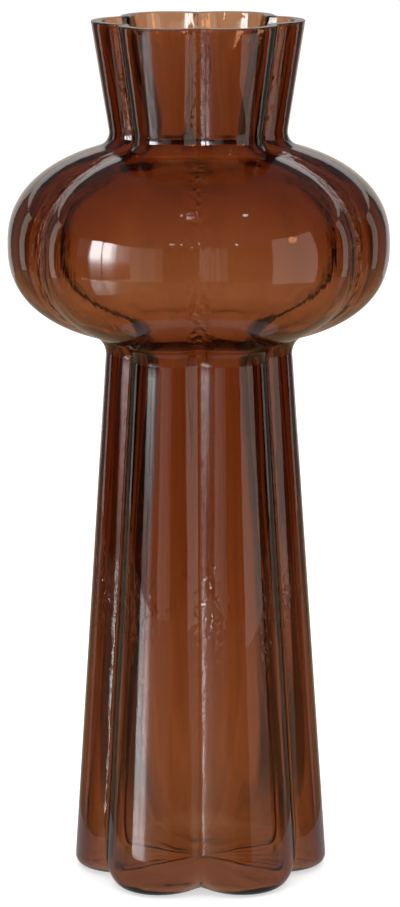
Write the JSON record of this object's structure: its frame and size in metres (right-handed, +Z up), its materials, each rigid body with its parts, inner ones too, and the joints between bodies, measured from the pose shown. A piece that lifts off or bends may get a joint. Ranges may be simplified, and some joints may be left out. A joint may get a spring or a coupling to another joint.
{
  "type": "glass vase",
  "caption": "Tall transparent amber glass vase with lobed sides, a flared neck over a round bulb, and a long stem widening to a rounded foot, for holding cut flowers.",
  "frame": {"origin": "middle of the flat face under the foot that the vase stands on", "axes": "+Z up along the vase's axis, +X towards the crest of a lobe, -Y towards a groove"},
  "size_m": [0.154, 0.1472, 0.35],
  "materials": {
    "amber_glass": "clear polished amber-brown glass, tinted all through"
  },
  "bodies": {
    "root": {"neck": "amber_glass", "bulb_upper": "amber_glass", "bulb_lower": "amber_glass", "stem": "amber_glass", "base": "amber_glass"}
  },
  "joints": []
}
